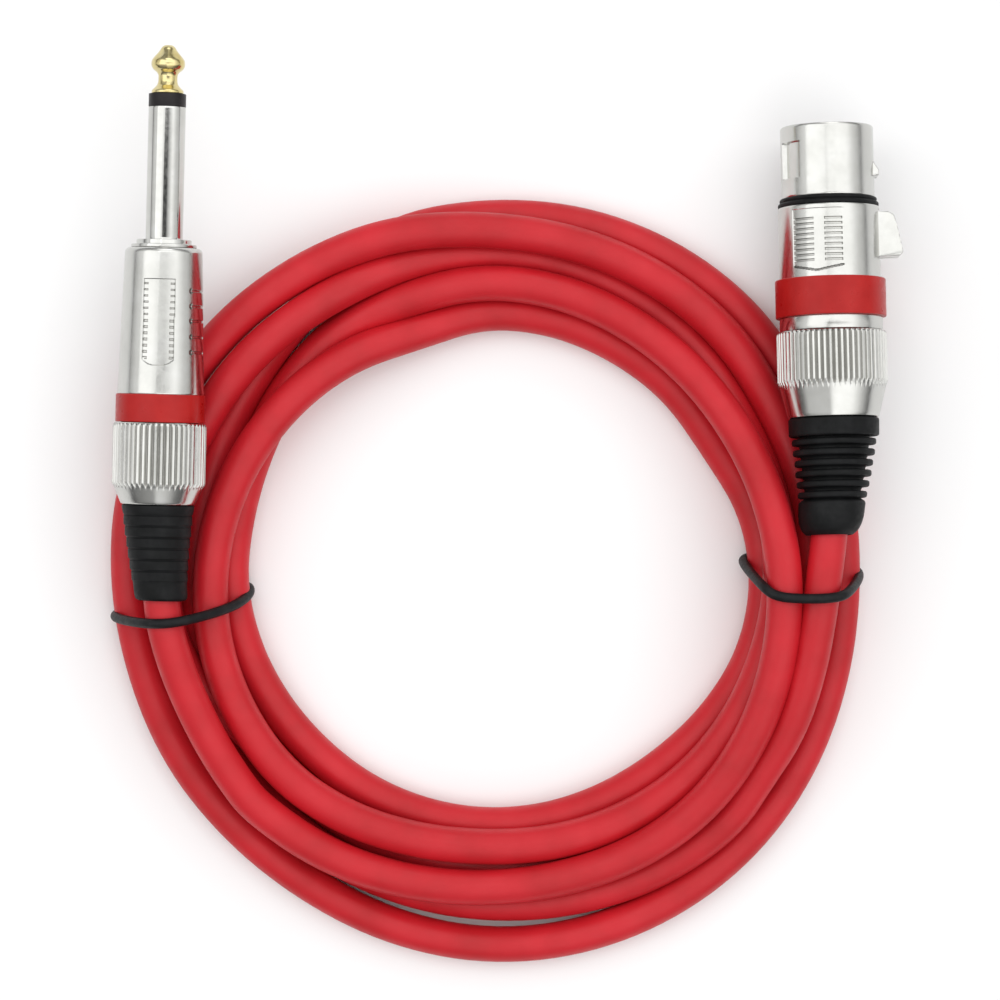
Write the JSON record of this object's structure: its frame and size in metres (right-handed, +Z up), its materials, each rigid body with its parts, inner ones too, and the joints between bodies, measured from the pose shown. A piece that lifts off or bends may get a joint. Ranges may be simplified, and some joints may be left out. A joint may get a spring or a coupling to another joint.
{
  "type": "coiled audio lead",
  "caption": "Coiled audio lead held by ties, with a latching female XLR connector at one end and a quarter-inch jack plug at the other.",
  "frame": {"origin": "centre of the coil on the surface that it lies on", "axes": "+Z up, along the coil's axis; +Y the way that both plugs point; +X right, to the XLR's side"},
  "size_m": [0.1371, 0.157, 0.0246],
  "materials": {
    "red_pvc": "satin",
    "nickel": "satin",
    "gold": "polished",
    "black_rubber": "matt",
    "black_band": "satin",
    "red_ring": "gloss",
    "black_plastic": "satin",
    "grey_plastic": "matt",
    "white_plastic": "satin",
    "steel": "satin",
    "copper": "plain"
  },
  "bodies": {
    "cable": {"cable_coil": "red_pvc", "jack_lead": "red_pvc", "xlr_lead": "red_pvc", "xlr_cable_end": "red_pvc", "jack_cable_end": "red_pvc", "tie_left": "black_band", "tie_right": "black_band", "xlr_shell": "nickel", "xlr_insert": "black_plastic", "xlr_contact_1": "gold", "xlr_contact_2": "gold", "xlr_contact_3": "gold", "xlr_o_ring": "black_rubber", "xlr_colour_ring": "red_ring", "xlr_latch_pin": "steel", "xlr_latch_spring": "steel", "xlr_retaining_screw": "steel", "xlr_chuck": "grey_plastic", "xlr_cores": "white_plastic", "xlr_shield_wire": "copper", "jack_tip": "gold", "jack_tip_ring": "black_plastic", "jack_sleeve": "nickel", "jack_inner_insulator": "white_plastic", "jack_shell": "nickel", "jack_tip_lug": "steel", "jack_sleeve_lug": "steel", "jack_insulating_tube": "grey_plastic", "jack_colour_ring": "red_ring", "jack_chuck": "grey_plastic", "jack_core": "white_plastic", "jack_shield_wire": "copper"},
    "xlr_latch": {"xlr_latch": "nickel"},
    "xlr_boot": {"xlr_boot": "black_rubber"},
    "xlr_nut": {"xlr_nut": "nickel"},
    "jack_boot": {"jack_boot": "black_rubber"},
    "jack_nut": {"jack_nut": "nickel"}
  },
  "joints": [
    {"name": "xlr_latch_press", "type": "hinge", "parent": "cable", "child": "xlr_latch", "pos_m": [0.06493, 0.05477, 0.01407], "axis": [-0.001, 0.0436, 0.999], "range_deg": [0, 3.5], "stiffness_Nm_per_rad": 0.3, "springref_deg": -3.44, "deforming": ["xlr_latch_spring"]},
    {"name": "xlr_boot_slide", "type": "slide", "parent": "cable", "child": "xlr_boot", "axis": [0.0218, -0.9988, 0.0436], "range_m": [0, 0.00375]},
    {"name": "xlr_nut_turn", "type": "hinge", "parent": "xlr_boot", "child": "xlr_nut", "pos_m": [0.0597, 0.03806, 0.01479], "axis": [0.0218, -0.9988, 0.0436], "range_deg": [0, 1080]},
    {"name": "jack_boot_slide", "type": "slide", "parent": "cable", "child": "jack_boot", "axis": [-0.025, -0.9995, -0.0209], "range_m": [0, 0.0025]},
    {"name": "jack_nut_turn", "type": "hinge", "parent": "jack_boot", "child": "jack_nut", "pos_m": [-0.05512, 0.02199, 0.01652], "axis": [-0.025, -0.9995, -0.0209], "range_deg": [0, 900]}
  ],
  "couplings": [
    {"joint": "xlr_nut_turn", "follows": "xlr_boot_slide", "rad_per_m": 5026.5},
    {"joint": "jack_nut_turn", "follows": "jack_boot_slide", "rad_per_m": 6283.2}
  ]
}
